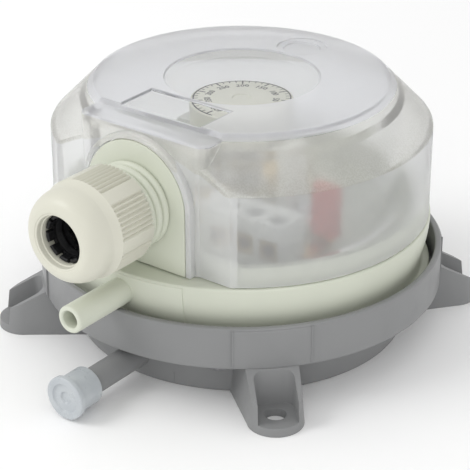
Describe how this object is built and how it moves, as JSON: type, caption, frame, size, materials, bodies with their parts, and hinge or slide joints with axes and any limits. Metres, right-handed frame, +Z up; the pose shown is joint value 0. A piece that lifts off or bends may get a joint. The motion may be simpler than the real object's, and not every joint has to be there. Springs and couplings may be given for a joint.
{
  "type": "differential pressure switch",
  "caption": "Round air differential pressure switch: lugged base, ledged upper housing, clear lift-off cover over a setpoint dial, cable gland and hose nozzles.",
  "frame": {"origin": "centre of the base's underside, on the surface that the base is fixed to", "axes": "+Z up through the dial, from the base to the cover; the cable gland and both hose nozzles point along -Y; +X is to the right seen from the gland's side"},
  "size_m": [0.0928, 0.1091, 0.0593],
  "materials": {
    "grey_housing": "mid-grey moulded plastic with a fine grain",
    "pale_housing": "pale grey-green moulded plastic with a fine grain",
    "ivory_nut": "ivory moulded plastic, satin",
    "clear_cover": "clear plastic with grained cone and frosted inside, polished windows",
    "milky_cap": "milky translucent soft plastic",
    "black_rubber": "matt black rubber",
    "silicone": "smooth silicone sheet",
    "cream_dial": "cream plastic with a dark printed scale",
    "white_block": "white moulded plastic, satin",
    "red_sleeve": "red insulating sleeve",
    "brass": "bare brass strip",
    "zinc_steel": "zinc-plated steel",
    "spring_steel": "drawn spring wire",
    "aluminium": "turned aluminium",
    "silver_contact": "silver-faced contact"
  },
  "bodies": {
    "housing": {"lower_housing": "grey_housing", "upper_housing": "pale_housing", "housing_screw_1": "zinc_steel", "housing_screw_2": "zinc_steel", "housing_screw_3": "zinc_steel", "housing_screw_4": "zinc_steel", "housing_screw_5": "zinc_steel", "housing_screw_6": "zinc_steel", "diaphragm": "silicone", "range_spring": "spring_steel", "dial_bridge": "white_block", "bridge_screw_1": "zinc_steel", "bridge_screw_2": "zinc_steel", "pivot_bracket": "brass", "pivot_pin": "zinc_steel", "contact_strip_closed": "brass", "contact_strip_open": "brass", "terminal_block": "white_block", "terminal_closed": "brass", "terminal_open": "brass", "terminal_common": "brass", "terminal_screw_1": "zinc_steel", "terminal_screw_2": "zinc_steel", "terminal_screw_3": "zinc_steel", "common_tab": "brass", "tab_sleeve": "red_sleeve"},
    "plunger": {"diaphragm_plate": "aluminium", "backing_disc": "aluminium", "plunger_pin": "zinc_steel", "spring_plate": "zinc_steel"},
    "lever": {"contact_lever": "brass", "contact_rivet": "silver_contact"},
    "dial": {"setpoint_dial": "cream_dial", "dial_spindle": "brass"},
    "spring_carrier": {"spring_seat": "white_block"},
    "seal": {"gland_seal": "black_rubber"},
    "nut": {"gland_nut": "ivory_nut"},
    "cap": {"nozzle_cap": "milky_cap"},
    "cover": {"cover": "clear_cover"}
  },
  "joints": [
    {"name": "plunger_slide", "type": "slide", "parent": "housing", "child": "plunger", "axis": [0, 0, 1], "range_m": [0, 0.0006], "stiffness_N_per_m": 200, "springref_m": -0.003, "deforming": ["diaphragm", "range_spring"]},
    {"name": "lever_swing", "type": "hinge", "parent": "housing", "child": "lever", "pos_m": [0, 0.0175, 0.0321], "axis": [-1, 0, 0], "range_deg": [0, 2]},
    {"name": "dial_turn", "type": "hinge", "parent": "housing", "child": "dial", "pos_m": [0, 0, 0.05], "axis": [0, 0, 1], "range_deg": [0, 270]},
    {"name": "seat_slide", "type": "slide", "parent": "housing", "child": "spring_carrier", "axis": [0, 0, -1], "range_m": [0, 0.003], "deforming": ["range_spring"]},
    {"name": "seal_slide", "type": "slide", "parent": "housing", "child": "seal", "axis": [0, -1, 0], "range_m": [0, 0.004]},
    {"name": "nut_turn", "type": "hinge", "parent": "seal", "child": "nut", "pos_m": [0, -0.053, 0.0422], "axis": [0, -1, 0], "range_deg": [0, 720]},
    {"name": "cap_slide", "type": "slide", "parent": "housing", "child": "cap", "axis": [0, -1, 0], "range_m": [0, 0.015]},
    {"name": "cover_lift", "type": "slide", "parent": "housing", "child": "cover", "axis": [0, 0, 1], "range_m": [0, 0.035]}
  ],
  "couplings": [
    {"joint": "lever_swing", "follows": "plunger_slide", "rad_per_m": 57.143},
    {"joint": "seat_slide", "follows": "dial_turn", "m_per_rad": 0.0006366},
    {"joint": "seal_slide", "follows": "nut_turn", "m_per_rad": 0.0003183}
  ]
}
